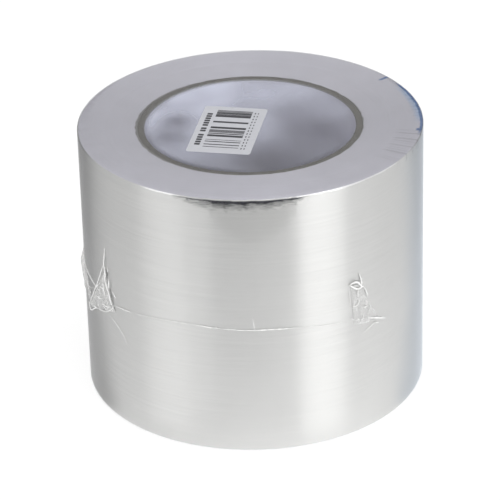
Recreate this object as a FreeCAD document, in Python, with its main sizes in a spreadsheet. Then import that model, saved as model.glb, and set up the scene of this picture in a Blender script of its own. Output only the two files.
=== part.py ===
"""Roll of aluminium foil tape, shrink-wrapped, standing on one end.

Four pieces: the paper core, the tape wound on it, the shrink film that closes round both and spans
the mouths of the core, and the printed sticker on the film over the upper mouth.

The roll's axis is +Z. The origin is on the axis at the underside of the film, where the roll stands.
The free end of the tape is at the back, +Y. The film is a pouch folded at the right, +X, and welded
along its other three sides, with a dog ear at each of its four corners. Azimuths are in degrees from
+X, anticlockwise from above. Lengths are in millimetres.
"""
import FreeCAD, Part
import math
import os

import Sketcher
from FreeCAD import Vector

DRIVING = {
    # tape, as sold: foil, adhesive and release liner together are one tape thickness
    "tape_width": 100.0,
    "tape_length": 50000.0,
    "tape_thickness": 0.1385,
    "tape_end_azimuth": 78.0,
    # turns drift sideways in bands while winding, which shows as rings on both ends of the roll
    "band_drift": 0.2,
    # paper core
    "core_bore": 76.0,
    "core_wall": 2.5,
    "core_recess": 1.2,
    "core_chamfer": 0.4,
    "winding_gap": 0.05,
    # shrink film, drawn thicker than the real 0.03 mm so that it is a sound solid
    "film_thickness": 0.12,
    "film_gap": 0.06,
    # weld of the film, a low bead that climbs to the middle of each welded side
    "weld_height": 49.5,
    "weld_dip": 2.6,
    "weld_width": 0.7,
    "weld_proud": 0.25,
    # dog ears, where the corners of the film's pouch have gathered into pleats
    "ear_pleat_width": 2.2,
    "ear_pleat_proud": 0.8,
    "ear_hem": 2.4,
    "ear_lobe_proud": 1.3,
    "left_ear_azimuth": -148.5,
    "left_ear_tip": 66.5,
    "left_ear_foot": 38.0,
    "left_ear_left": -20.0,
    "left_ear_right": 7.0,
    "left_lobe_azimuth": -27.5,
    "left_lobe_top": 50.0,
    "right_ear_azimuth": -53.5,
    "right_ear_tip": 63.0,
    "right_ear_foot": 46.0,
    "right_ear_left": -6.0,
    "right_ear_right": 5.0,
    "right_lobe_azimuth": 15.0,
    "right_lobe_top": 41.0,
    "back_ear_azimuth": 30.0,
    "back_ear_tip": 62.0,
    "back_ear_foot": 40.0,
    "back_ear_left": -9.0,
    "back_ear_right": 9.0,
    "rear_ear_azimuth": 118.0,
    "rear_ear_tip": 60.0,
    "rear_ear_foot": 39.0,
    "rear_ear_left": -8.0,
    "rear_ear_right": 10.0,
    # sticker
    "label_length": 37.5,
    "label_width": 23.0,
    "label_thickness": 0.1,
    "label_rounding": 1.0,
    "label_x": -8.2,
    "label_y": -7.2,
    "label_turn": -11.0,
}
BANDS = 6
CORNERS = ("left", "right", "back", "rear")
EAR_PLEATS = 6
LOBE_FOOT = 0.7

# sizes that follow from the driving ones, written in the sheet's names
CORE_BORE_RADIUS = "(sizes.core_bore / 2)"
CORE_RADIUS = f"({CORE_BORE_RADIUS} + sizes.core_wall)"
INNER_TURN = f"({CORE_RADIUS} + sizes.winding_gap)"
OUTER_TURN = f"sqrt({INNER_TURN}^2 + sizes.tape_length * sizes.tape_thickness / pi)"
FILM_INSIDE = f"({OUTER_TURN} + sizes.film_gap)"
FILM_OUTSIDE = f"({FILM_INSIDE} + sizes.film_thickness)"
WOUND_BASE = "(sizes.film_thickness + sizes.film_gap)"
WOUND_HEIGHT = "(sizes.tape_width + sizes.band_drift)"
FILM_HEIGHT = f"({WOUND_HEIGHT} + 2 * {WOUND_BASE})"

doc = FreeCAD.newDocument("foil_tape_roll")
sheet = doc.addObject("Spreadsheet::Sheet", "sizes")
for row, (alias, value) in enumerate(DRIVING.items(), start=1):
    sheet.set(f"A{row}", alias)
    sheet.set(f"B{row}", str(value))
    sheet.setAlias(f"B{row}", alias)
doc.recompute()


def bound(thing, **expressions):
    """Binds each named property of an object to its expression."""
    for name, expression in expressions.items():
        thing.setExpression(name, expression)
    return thing


def plane_sketch(body, name, role, base_z="0", turn="0"):
    """A sketch on one of the body's own origin planes, lifted and turned about the roll's axis."""
    sketch = body.newObject("Sketcher::SketchObject", name)
    plane = next(f for f in body.Origin.OriginFeatures if f.Role == role)
    sketch.AttachmentSupport = [(plane, "")]
    sketch.MapMode = "FlatFace"
    sketch.setExpression(
        "AttachmentOffset",
        f"placement(vector(0; 0; {base_z}); rotation({turn}; 0; 0))",
    )
    return sketch


def drive(sketch, constraint, expression):
    """Adds a constraint to a sketch and binds its value."""
    index = sketch.addConstraint(constraint)
    sketch.setExpression(f"Constraints[{index}]", expression)
    return index


def value(expression):
    """What an expression in the sheet's names comes to now."""
    return float(sheet.evalExpression(expression))


def circle(sketch, radius):
    """A circle about the axis, its radius bound."""
    drawn = value(radius)
    ring = sketch.addGeometry(Part.Circle(Vector(0, 0, 0), Vector(0, 0, 1), drawn))
    sketch.addConstraint(Sketcher.Constraint("Coincident", ring, 3, -1, 1))
    drive(sketch, Sketcher.Constraint("Radius", ring, drawn), radius)


def bevelled(body, feature, size, radius):
    """Chamfers the round edges of the last feature that have this radius."""
    doc.recompute()
    rims = [
        f"Edge{i}"
        for i, edge in enumerate(feature.Shape.Edges, start=1)
        if isinstance(edge.Curve, Part.Circle) and abs(edge.Curve.Radius - value(radius)) < 1e-6
    ]
    chamfer = body.newObject("PartDesign::Chamfer", f"{feature.Name}_rims")
    chamfer.Base = (feature, rims)
    return bound(chamfer, Size=size)


def lifted(body, base_z):
    """Places a body so that its own base is at this height."""
    return bound(body, Placement=f"placement(vector(0; 0; {base_z}); rotation(0; 0; 0))")


# ---- paper core: a cut length of tube, a little shorter than the tape is wide ----
def make_core():
    body = doc.addObject("PartDesign::Body", "core")
    sketch = plane_sketch(body, "core_section", "XY_Plane")
    circle(sketch, CORE_RADIUS)
    circle(sketch, CORE_BORE_RADIUS)
    tube = body.newObject("PartDesign::Pad", "core_tube")
    tube.Profile = sketch
    bound(tube, Length=f"{WOUND_HEIGHT} - 2 * sizes.core_recess")
    bevelled(body, tube, "sizes.core_chamfer", CORE_BORE_RADIUS)
    return lifted(body, f"{WOUND_BASE} + sizes.core_recess")


# ---- wound tape: one solid whose outline is its last turn ----
def turn_outline(sketch):
    """The last turn, as four quarter arcs whose centres step round a small square, and the inner turn.

    Each arc's radius is a quarter of a tape thickness more than the one before, so the outline is a
    smooth spiral that ends in a step of one tape thickness: the free end of the tape.
    """
    growth = "sizes.tape_thickness / 4"
    first_radius = f"{OUTER_TURN} - 3.5 * {growth}"
    step, first = value(growth), value(first_radius)
    corners = [(-0.5, 0.5), (-0.5, -0.5), (0.5, -0.5), (0.5, 0.5)]
    for i, (x, y) in enumerate(corners):
        centre = Vector(x * step, y * step, 0)
        full = Part.Circle(centre, Vector(0, 0, 1), first + i * step)
        sketch.addGeometry(Part.ArcOfCircle(full, i * math.pi / 2, (i + 1) * math.pi / 2))
        for direction, share in (("DistanceX", x), ("DistanceY", y)):
            offset = Sketcher.Constraint(direction, -1, 1, i, 3, share * step)
            drive(sketch, offset, f"{share} * {growth}")
    for i in range(3):
        sketch.addConstraint(Sketcher.Constraint("Tangent", i, 2, i + 1, 1))
    drive(sketch, Sketcher.Constraint("Radius", 0, first), first_radius)
    inner = Vector(first - 0.5 * step, 0.5 * step, 0)
    outer = Vector(first + 3.5 * step, 0.5 * step, 0)
    end = sketch.addGeometry(Part.LineSegment(outer, inner))
    sketch.addConstraint(Sketcher.Constraint("Coincident", 3, 2, end, 1))
    sketch.addConstraint(Sketcher.Constraint("Coincident", 0, 1, end, 2))
    sketch.addConstraint(Sketcher.Constraint("Horizontal", end))
    circle(sketch, INNER_TURN)


def band_edge(number):
    """Radius at which a band of turns starts, counted from the core."""
    return f"({INNER_TURN} + ({OUTER_TURN} - {INNER_TURN}) * {number} / {BANDS})"


def band_pocket(body, name, bands, base_z, upward):
    """Cuts one end of the roll back by the drift over the given bands of turns."""
    sketch = plane_sketch(body, f"{name}_rings", "XY_Plane", base_z)
    for band in bands:
        lower = band_edge(band) if band else f"({INNER_TURN} - sizes.core_wall / 2)"
        upper = band_edge(band + 1) if band + 1 < BANDS else f"({OUTER_TURN} + sizes.core_wall)"
        circle(sketch, lower)
        circle(sketch, upper)
    pocket = body.newObject("PartDesign::Pocket", name)
    pocket.Profile = sketch
    pocket.Reversed = upward
    return bound(pocket, Length="sizes.band_drift")


def make_tape():
    body = doc.addObject("PartDesign::Body", "foil_tape")
    outline = plane_sketch(body, "last_turn", "XY_Plane", turn="sizes.tape_end_azimuth")
    turn_outline(outline)
    wound = body.newObject("PartDesign::Pad", "wound_turns")
    wound.Profile = outline
    bound(wound, Length=WOUND_HEIGHT)
    doc.recompute()
    band_pocket(body, "upper_end", range(0, BANDS, 2), WOUND_HEIGHT, upward=False)
    doc.recompute()
    band_pocket(body, "lower_end", range(1, BANDS, 2), "0", upward=True)
    return lifted(body, WOUND_BASE)


# ---- shrink film: a closed skin with its weld bead and the gathered corners of its pouch ----
def drum(name, radius, height, base_z):
    """A body holding one plain drum about the roll's axis, and the drum itself."""
    body = doc.addObject("PartDesign::Body", name)
    sketch = plane_sketch(body, f"{name}_circle", "XY_Plane")
    circle(sketch, radius)
    pad = body.newObject("PartDesign::Pad", f"{name}_pad")
    pad.Profile = sketch
    bound(pad, Length=height)
    lifted(body, base_z)
    return body, pad


def weld_bead(name, start, end):
    """One welded side of the film: a strip of the drum cut by a plane that leans out and up.

    The plane is highest at the middle of the side and lower by the dip at its two ends.
    """
    half = f"(({end}) - ({start})) / 2"
    middle = f"(({end}) + ({start})) / 2"
    rise = f"(sizes.weld_dip / (1 - cos({half})))"
    reach = f"({FILM_OUTSIDE} + sizes.weld_proud)"
    sector = doc.addObject("Part::Cylinder", f"{name}_sector")
    bound(
        sector,
        Radius=reach,
        Height="sizes.weld_height",
        Angle=f"({end}) - ({start})",
        Placement=f"placement(vector(0; 0; sizes.weld_height / 2); rotation({start}; 0; 0))",
    )
    slab = doc.addObject("Part::Box", f"{name}_slab")
    lean = f"atan({rise} / {reach})"
    bound(
        slab,
        Length=f"3 * {reach}",
        Width=f"3 * {reach}",
        Height="sizes.weld_width",
        Placement=(
            f"placement(vector(0; 0; sizes.weld_height - {rise} - sizes.weld_width / 2);"
            f" rotation({middle}; -{lean}; 0))"
            f" * placement(vector(-1.5 * {reach}; -1.5 * {reach}; 0); rotation(0; 0; 0))"
        ),
    )
    bead = doc.addObject("Part::Common", name)
    bead.Base, bead.Tool = sector, slab
    return bead


def pleat(name, start, end, proud="sizes.ear_pleat_proud"):
    """One pleat of film: a low ridge with sloping ends from one (azimuth, height) to another."""
    middle = f"(({start[0]}) + ({end[0]})) / 2"
    height = f"(({start[1]}) + ({end[1]})) / 2"
    sideways = f"({FILM_OUTSIDE} * (({end[0]}) - ({start[0]})) * pi / 180)"
    upward = f"(({end[1]}) - ({start[1]}))"
    half = f"(sqrt({sideways}^2 + {upward}^2) / 2)"
    ridge = doc.addObject("Part::Wedge", name)
    return bound(
        ridge,
        Xmin="-sizes.ear_pleat_width / 2",
        Xmax="sizes.ear_pleat_width / 2",
        X2min="-sizes.ear_pleat_width / 8",
        X2max="sizes.ear_pleat_width / 8",
        Ymin=f"-2 * {proud}",
        Ymax=proud,
        Zmin=f"-{half}",
        Zmax=half,
        Z2min=f"-{half} * 0.8",
        Z2max=f"{half} * 0.8",
        Placement=(
            f"placement(vector({FILM_OUTSIDE} * cos({middle}); {FILM_OUTSIDE} * sin({middle}); {height});"
            f" rotation({middle} - 90; -atan2({sideways}; {upward}); 0))"
        ),
    )


def dog_ear(side):
    """Pleats that fan down from the ear's tip, and the rolled hem that joins their feet."""
    azimuth, tip, foot = (f"sizes.{side}_ear_{part}" for part in ("azimuth", "tip", "foot"))
    left, right = f"sizes.{side}_ear_left", f"sizes.{side}_ear_right"
    ridges = []
    for i in range(EAR_PLEATS):
        share = i / (EAR_PLEATS - 1)
        spread = f"({left} + ({right} - {left}) * {share})"
        lift = f"(({tip} - {foot}) * {0.16 * (i % 2) + 0.1 * share})"
        ridges.append(
            pleat(f"{side}_pleat_{i}", (f"{azimuth} + {spread}", f"{foot} + {lift}"), (azimuth, tip))
        )
    ridges.append(
        pleat(
            f"{side}_hem",
            (f"{azimuth} + {left}", foot),
            (f"{azimuth} + {right} * 0.6", f"{foot} + sizes.ear_hem"),
        )
    )
    return ridges


def lobe(side, foot_share):
    """A loop of film that stands off beside an ear, from its own top down to the hem's level."""
    azimuth, foot = f"sizes.{side}_ear_azimuth", f"sizes.{side}_ear_foot"
    outer = f"{azimuth} + sizes.{side}_lobe_azimuth"
    inner = f"{azimuth} + sizes.{side}_lobe_azimuth * {foot_share}"
    top = (outer, f"sizes.{side}_lobe_top")
    return pleat(f"{side}_lobe", top, (inner, f"{foot} - sizes.ear_hem"), "sizes.ear_lobe_proud")


def make_film():
    outside, outside_drum = drum("film_outside", FILM_OUTSIDE, FILM_HEIGHT, "0")
    bevelled(outside, outside_drum, "sizes.film_thickness", FILM_OUTSIDE)
    inner_height = f"{FILM_HEIGHT} - 2 * sizes.film_thickness"
    inside, _ = drum("film_inside", FILM_INSIDE, inner_height, "sizes.film_thickness")
    left, right, back, rear = (f"sizes.{side}_ear_azimuth" for side in CORNERS)
    outer = [
        outside,
        weld_bead("front_weld", left, right),
        weld_bead("back_weld", back, rear),
        weld_bead("side_weld", f"{rear} - 360", left),
    ]
    for side in CORNERS:
        outer += dog_ear(side)
    outer += [lobe("left", LOBE_FOOT), lobe("right", LOBE_FOOT)]
    skin = doc.addObject("Part::MultiFuse", "film_and_pleats")
    skin.Shapes = outer
    film = doc.addObject("Part::Cut", "shrink_film")
    film.Base, film.Tool = skin, inside
    return film


# ---- sticker: a rounded slip on the film over the upper mouth ----
def make_label():
    body = doc.addObject("PartDesign::Body", "label")
    sketch = plane_sketch(body, "label_outline", "XY_Plane")
    x, y = value("sizes.label_width / 2"), value("sizes.label_length / 2")
    corners = [Vector(-x, -y, 0), Vector(x, -y, 0), Vector(x, y, 0), Vector(-x, y, 0)]
    for i in range(4):
        sketch.addGeometry(Part.LineSegment(corners[i], corners[(i + 1) % 4]))
        sketch.addConstraint(Sketcher.Constraint("Vertical" if i % 2 else "Horizontal", i))
    for i in range(4):
        sketch.addConstraint(Sketcher.Constraint("Coincident", i, 2, (i + 1) % 4, 1))
    sketch.addConstraint(Sketcher.Constraint("Symmetric", 0, 1, 1, 2, -1, 1))
    drive(sketch, Sketcher.Constraint("DistanceX", 0, 1, 0, 2, 2 * x), "sizes.label_width")
    drive(sketch, Sketcher.Constraint("DistanceY", 1, 1, 1, 2, 2 * y), "sizes.label_length")
    slip = body.newObject("PartDesign::Pad", "label_slip")
    slip.Profile = sketch
    bound(slip, Length="sizes.label_thickness")
    doc.recompute()
    upright = [
        f"Edge{i}"
        for i, edge in enumerate(slip.Shape.Edges, start=1)
        if abs(edge.tangentAt(edge.FirstParameter).z) > 0.99
    ]
    fillet = body.newObject("PartDesign::Fillet", "label_corners")
    fillet.Base = (slip, upright)
    bound(fillet, Radius="sizes.label_rounding")
    bound(
        body,
        Placement=(
            f"placement(vector(sizes.label_x; sizes.label_y; {FILM_HEIGHT});"
            " rotation(sizes.label_turn; 0; 0))"
        ),
    )
    return body


PIECES = [make_core(), make_tape(), make_film(), make_label()]
doc.recompute()

for thing in doc.Objects:
    if {"Invalid", "Error"} & set(thing.State):
        raise RuntimeError(f"{thing.Label} did not recompute: {thing.State}")

os.makedirs("parts", exist_ok=True)
for piece in PIECES:
    if piece.Shape.isNull() or not piece.Shape.isValid():
        raise RuntimeError(f"{piece.Label} has no valid shape")
    piece.Shape.exportStep(f"parts/{piece.Label}.step")
    size = piece.Shape.BoundBox
    print(
        f"{piece.Label}: {len(piece.Shape.Solids)} solid, {piece.Shape.Volume:.1f} mm3,"
        f" {size.XLength:.2f} x {size.YLength:.2f} x {size.ZLength:.2f} mm"
    )
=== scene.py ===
"""A roll of aluminium foil tape in clear shrink film, dressed over its packed construction.

The pieces are the wound tape, its paper core, the shrink film with its weld and gathered dog ears,
and the plain sticker over the upper mouth. Lengths are in metres, those inside materials in
millimetres, and colours are sRGB hex values.
"""

import math
import random

import bmesh
import bpy
from mathutils import Matrix, Vector, noise


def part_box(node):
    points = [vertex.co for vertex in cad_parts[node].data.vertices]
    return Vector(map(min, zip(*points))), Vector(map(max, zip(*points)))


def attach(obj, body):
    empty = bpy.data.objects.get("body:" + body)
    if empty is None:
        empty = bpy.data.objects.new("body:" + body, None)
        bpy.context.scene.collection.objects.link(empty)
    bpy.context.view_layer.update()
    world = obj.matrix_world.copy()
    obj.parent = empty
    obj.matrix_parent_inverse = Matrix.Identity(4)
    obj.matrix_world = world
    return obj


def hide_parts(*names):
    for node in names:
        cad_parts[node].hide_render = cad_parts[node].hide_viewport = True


bl_info = {
    "name": "Foil tape roll",
    "version": (1, 0, 0),
    "blender": (4, 5, 0),
    "location": "3D View > Sidebar > Foil roll",
    "description": "Builds a shrink-wrapped roll of aluminium foil tape",
    "category": "Add Mesh",
}

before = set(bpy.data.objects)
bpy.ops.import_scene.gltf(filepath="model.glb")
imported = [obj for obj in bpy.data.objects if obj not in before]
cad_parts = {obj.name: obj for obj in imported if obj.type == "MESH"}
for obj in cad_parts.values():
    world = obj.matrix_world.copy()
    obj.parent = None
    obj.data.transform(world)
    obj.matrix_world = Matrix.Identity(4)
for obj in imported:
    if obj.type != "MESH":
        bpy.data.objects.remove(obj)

MM = 0.001
CORE_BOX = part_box("core")
TAPE_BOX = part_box("foil_tape")
FILM_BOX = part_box("shrink_film")
LABEL_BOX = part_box("label")
MOUTH = 38.0 * MM
TAPE_BORE = 40.55 * MM
# In millimetres: the roll's middle, and where strands and sheets of spare film lie on its side.
MID_HEIGHT = 50.3
STRAND_SIDE = 62.24
SHEET_SIDE = 62.25
# Factors that bring a point down to the floor.
LEVEL = (1, 1, 0)
WHITE = (1.0, 1.0, 1.0, 1.0)
BLACK = (0.0, 0.0, 0.0, 1.0)


def linear(hex_colour):
    """Turns an sRGB hex value to the linear colour that a shader works in."""
    parts = [int(hex_colour[i : i + 2], 16) / 255 for i in (1, 3, 5)]
    return [c / 12.92 if c <= 0.04045 else ((c + 0.055) / 1.055) ** 2.4 for c in parts]


def length(name, description, default):
    """A length that a user may change, in metres."""
    return bpy.props.FloatProperty(
        name=name, description=description, default=default, subtype="DISTANCE", unit="LENGTH"
    )


def angle(name, description, degrees):
    """An angle that a user may change, kept in radians."""
    return bpy.props.FloatProperty(
        name=name,
        description=description,
        default=math.radians(degrees),
        subtype="ANGLE",
        unit="ROTATION",
    )


def colour(name, description, hex_colour):
    """A colour that a user may change."""
    return bpy.props.FloatVectorProperty(
        name=name,
        description=description,
        default=linear(hex_colour),
        size=3,
        min=0,
        max=1,
        subtype="COLOR",
    )


class FoilRollSizes(bpy.types.PropertyGroup):
    """Lengths and angles of the roll."""

    tape_radius: length("Tape radius", "Outside of the last turn of tape", 62.03 * MM)
    tape_base: length("Tape base", "Height of the tape's lower end", TAPE_BOX[0].z)
    tape_top: length("Tape top", "Height of the tape's upper end", TAPE_BOX[1].z)
    tape_turn: length("Turn thickness", "Foil, adhesive and release paper together", 0.1385 * MM)
    tape_end: angle("Free end", "Azimuth of the tape's free end", 78)
    tape_rounding: length("Rim rounding", "How far the last turns are rolled over", 0.3 * MM)
    tape_dish: length("Dish", "How far the upper end sinks toward the core", 1.15 * MM)
    dent: length("Rim dents", "Depth of the dents under the front rim", 0.35 * MM)
    core_radius: length("Core radius", "Outside of the paper core", CORE_BOX[1].x)
    core_base: length("Core base", "Height of the core's lower end", CORE_BOX[0].z)
    core_top: length("Core top", "Height of the core's upper end", CORE_BOX[1].z)
    core_lip: length("Core lip", "Rounding of the core's lips", 0.4 * MM)
    film_radius: length("Film radius", "Outside of the shrink film", FILM_BOX[1].x)
    film_top: length("Film top", "Height of the film over the mouth", FILM_BOX[1].z)
    film_wall: length("Film thickness", "Thickness of the shrink film", 0.12 * MM)
    film_rim: length("Film rim", "Radius of the film over the roll's rims", 0.4 * MM)
    film_dip: length("Film sag", "How deep the film waves over the mouths", 0.16 * MM)
    weld_height: length("Weld height", "Height of the film's weld on the side", 49.5 * MM)
    sticker_length: length("Sticker length", "Long side of the sticker", 37.5 * MM)
    sticker_width: length("Sticker width", "Short side of the sticker", 23.0 * MM)
    sticker_turn: angle("Sticker turn", "Turn of the sticker on the film", -11)


class FoilRollColours(bpy.types.PropertyGroup):
    """Colours of the roll's finishes."""

    foil: colour("Foil", "Satin side of the aluminium foil", "#CBCBC9")
    edge: colour("Wound edge", "Cut edges of the foil and release paper", "#B7B6BF")
    board: colour("Core board", "Cut end of the grey-brown board", "#46433A")
    liner: colour("Core liner", "Smooth paper inside the core", "#B4B3C4")
    ink: colour("Blue ink", "Blue print on the release paper's edge", "#34609A")
    haze: colour("Film haze", "Stress-whitened shrink film", "#FBFBFA")
    veil: colour("Film veil", "Milky film over the mouth", "#E3E6F6")
    sticker: colour("Sticker", "Coated paper of the sticker", "#BFC0C6")
    print: colour("Print", "Thermal print on the sticker", "#2C2C31")
    floor: colour("Floor", "Plain studio floor", "#F2F2F2")


def add(kind, values, tree=None):
    """Adds a shader node with its settings and links.

    A key is the name of a setting, or the name or number of a socket. A value that is a socket is
    linked, and so is a node's first output in use. The node joins the tree of what feeds it.
    """
    linked = (bpy.types.Node, bpy.types.NodeSocket)
    if tree is None:
        tree = next(value.id_data for value in values.values() if isinstance(value, linked))
    node = tree.nodes.new("ShaderNode" + kind)
    for key, value in values.items():
        if isinstance(value, bpy.types.Node):
            value = next(output for output in value.outputs if output.enabled)
        if key == "ramp":
            stops = node.color_ramp.elements
            while len(stops) < len(value):
                stops.new(1)
            for stop, (position, tone) in zip(stops, value):
                stop.position = position
                stop.color = (*tone, 1) if hasattr(tone, "__len__") else (tone, tone, tone, 1)
        elif isinstance(key, str) and hasattr(node, key):
            setattr(node, key, value)
        elif isinstance(value, bpy.types.NodeSocket):
            tree.links.new(value, node.inputs[key])
        else:
            node.inputs[key].default_value = value
    return node


def new_material(name):
    """An empty material, and its nodes."""
    material = bpy.data.materials.new(name)
    material.use_nodes = True
    material.node_tree.nodes.clear()
    return material, material.node_tree


def window(value, low, high, soft):
    """1 between low and high, fading to 0 over soft outside them."""
    rise = add("MapRange", {
        "interpolation_type": "SMOOTHSTEP",
        "Value": value,
        "From Min": low - soft,
        "From Max": low,
    })
    fall = add("MapRange", {
        "interpolation_type": "SMOOTHSTEP",
        "Value": value,
        "From Min": high,
        "From Max": high + soft,
        "To Min": 1,
        "To Max": 0,
    })
    return add("Math", {"operation": "MULTIPLY", 0: rise, 1: fall})


def shade(values, factor=1):
    """A shader colour from a property, made darker or lighter by a factor."""
    return (*(min(1, c * factor) for c in values[:3]), 1)


def mottled(value, low, high, colour, dark, light):
    """A colour that goes from darker to lighter as a value crosses a range."""
    return add("Mix", {
        "data_type": "RGBA",
        0: add("MapRange", {"Value": value, "From Min": low, "From Max": high}),
        6: shade(colour, dark),
        7: shade(colour, light),
    })


def in_millimetres(tree):
    """The piece's own coordinates, in millimetres."""
    place = add("TexCoord", {}, tree).outputs["Object"]
    return add("VectorMath", {"operation": "SCALE", "Scale": 1000, 0: place}).outputs[0]


def polar(place):
    """Azimuth in degrees, radius and height of a point, in millimetres."""
    x, y, z = add("SeparateXYZ", {0: place}).outputs
    azimuth = add("Math", {
        "operation": "DEGREES",
        0: add("Math", {"operation": "ARCTAN2", 0: y, 1: x}),
    })
    radius = add("VectorMath", {
        "operation": "LENGTH",
        0: add("VectorMath", {"operation": "MULTIPLY", 0: place, 1: LEVEL}),
    })
    return azimuth, radius, z


def bulged(azimuth, centre, half):
    """1 at an azimuth, falling to 0 at half a width on both sides of it, as a lens does."""
    away = add("Math", {
        "operation": "DIVIDE",
        0: add("Math", {"operation": "SUBTRACT", 0: azimuth, 1: centre}),
        1: half,
    })
    return add("Math", {
        "operation": "MAXIMUM",
        0: add("Math", {
            "operation": "SUBTRACT",
            0: 1,
            1: add("Math", {"operation": "MULTIPLY", 0: away, 1: away}),
        }),
        1: 0,
    })


def from_middle(height):
    """How far a point is above or below the roll's middle, in millimetres."""
    return add("Math", {
        "operation": "ABSOLUTE",
        0: add("Math", {"operation": "SUBTRACT", 0: height, 1: MID_HEIGHT}),
    })


def rolled_foil(colours):
    """Soft aluminium foil, rolled bright and then backed with adhesive.

    The rolls leave hair lines that run along the tape, so a light smears into an upright streak.
    """
    material, tree = new_material("aluminium_foil_rolled")
    place = in_millimetres(tree)
    azimuth, _, height = polar(place)
    # Roll lines: a few tenths of a millimetre apart on the real foil, drawn about 1 mm apart to show.
    lines = add("TexNoise", {
        "Scale": 1,
        "Detail": 4,
        "Roughness": 0.6,
        "Vector": add("VectorMath", {"operation": "MULTIPLY", 0: place, 1: (0.03, 0.03, 1.1)}),
    })
    clouds = add("TexNoise", {
        "Scale": 1,
        "Detail": 3,
        "Roughness": 0.5,
        "Vector": add("VectorMath", {"operation": "MULTIPLY", 0: place, 1: (0.05, 0.05, 0.03)}),
    })
    # The crushed edge under the front rim is bumped and glossier; its black band against the rim and its
    # blotches for 4 mm below it are painted shade and dark reflection.
    patches = add("TexNoise", {
        "Scale": 1,
        "Detail": 2.5,
        "Roughness": 0.6,
        "Distortion": 0.8,
        "Vector": add("VectorMath", {"operation": "MULTIPLY", 0: place, 1: (0.24, 0.24, 0.75)}),
    })
    grain = add("Math", {"operation": "SUBTRACT", 0: patches, 1: 0.5})
    lens = bulged(azimuth, -94, 23)
    low_edge = add("Math", {
        "operation": "SUBTRACT",
        0: 100.5,
        1: add("Math", {
            "operation": "MULTIPLY",
            0: add("Math", {"operation": "SQRT", 0: lens}),
            1: 4.6,
        }),
    })
    ragged = add("Math", {
        "operation": "ADD",
        0: add("Math", {"operation": "SUBTRACT", 0: height, 1: low_edge}),
        1: add("Math", {"operation": "MULTIPLY", 0: grain, 1: 6}),
    })
    # The very rim is bent over and stays bright.
    under_rim = add("MapRange", {
        "Value": height,
        "From Min": 99.75,
        "From Max": 99.95,
        "To Min": 1,
        "To Max": 0,
    })
    # Painted shade and dark reflection over a real crush: dark blotches below the front rim.
    crush_and_shade = add("Math", {
        "operation": "MULTIPLY",
        0: add("MapRange", {"Value": ragged, "From Min": 0, "From Max": 2.6}),
        1: under_rim,
    })
    black_at = add("Math", {
        "operation": "ADD",
        0: add("Math", {
            "operation": "SUBTRACT",
            0: height,
            1: add("Math", {"operation": "SUBTRACT", 0: 99.8, 1: lens}),
        }),
        1: add("Math", {
            "operation": "MULTIPLY",
            0: add("Math", {"operation": "MULTIPLY", 0: grain, 1: lens}),
            1: 4,
        }),
    })
    # Painted shade and dark reflection: a near-black band along the front rim.
    black = add("Math", {
        "operation": "MULTIPLY",
        0: add("Math", {
            "operation": "MULTIPLY",
            0: add("MapRange", {"Value": black_at, "From Min": -0.3, "From Max": 0.3}),
            1: under_rim,
        }),
        1: add("MapRange", {"Value": lens, "From Min": 0, "From Max": 0.12}),
    })
    # Either side of it the slit edge is rolled over, and a broken bright line is painted on it as a
    # highlight.
    broken = add("Math", {
        "operation": "ADD",
        0: height,
        1: add("Math", {"operation": "MULTIPLY", 0: grain, 1: 2.4}),
    })
    at_left = window(azimuth, -124, -117, 5)
    at_right = window(azimuth, -70, -40, 8)
    lip = add("Math", {
        "operation": "MULTIPLY",
        0: add("MapRange", {"Value": broken, "From Min": 99.6, "From Max": 99.9}),
        1: add("Math", {"operation": "MAXIMUM", 0: at_left, 1: at_right}),
    })
    plain = mottled(lines, 0.3, 0.7, colours.foil, 0.94, 1.05)
    plain = add("Mix", {
        "data_type": "RGBA",
        0: add("MapRange", {
            "Value": clouds,
            "From Min": 0.35,
            "From Max": 0.65,
            "To Min": 0,
            "To Max": 0.5,
        }),
        6: plain,
        7: shade(colours.foil, 1.02),
    })
    # The blotches are painted shade: the foil is mixed toward a dark grey there.
    painted_rim = add("Mix", {
        "data_type": "RGBA",
        0: add("Math", {"operation": "MULTIPLY", 0: crush_and_shade, 1: 0.85}),
        6: plain,
        7: shade(linear("#595B59")),
    })
    # Painted highlight: the broken rim line is mixed toward a pale grey.
    painted_rim = add("Mix", {"data_type": "RGBA", 0: lip, 6: painted_rim, 7: shade(linear("#E7E7E7"))})
    # The band is painted shade: the foil is mixed toward near-black there.
    final = add("Mix", {
        "data_type": "RGBA",
        0: add("Math", {"operation": "MULTIPLY", 0: black, 1: 0.94}),
        6: painted_rim,
        7: shade(linear("#1D1D24")),
    })
    roughness = add("Math", {
        "operation": "SUBTRACT",
        0: add("MapRange", {
            "Value": lines,
            "From Min": 0.3,
            "From Max": 0.7,
            "To Min": 0.37,
            "To Max": 0.44,
        }),
        1: add("Math", {"operation": "MULTIPLY", 0: crush_and_shade, 1: 0.08}),
    })
    grained = add("Bump", {"Strength": 0.35, "Distance": 0.00004, "Height": lines})
    more = {"Metallic": 1, "Anisotropic": 0.9}
    more["Normal"] = add("Bump", {
        "Strength": 0.6,
        "Distance": 0.0006,
        "Height": add("Math", {"operation": "MULTIPLY", 0: patches, 1: crush_and_shade}),
        "Normal": grained,
    })
    more["Tangent"] = add("CombineXYZ", {"Z": 1}, tree).outputs[0]
    shader = add("BsdfPrincipled", {"Base Color": final, "Roughness": roughness, **more})
    add("OutputMaterial", {0: shader})
    return material


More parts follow.
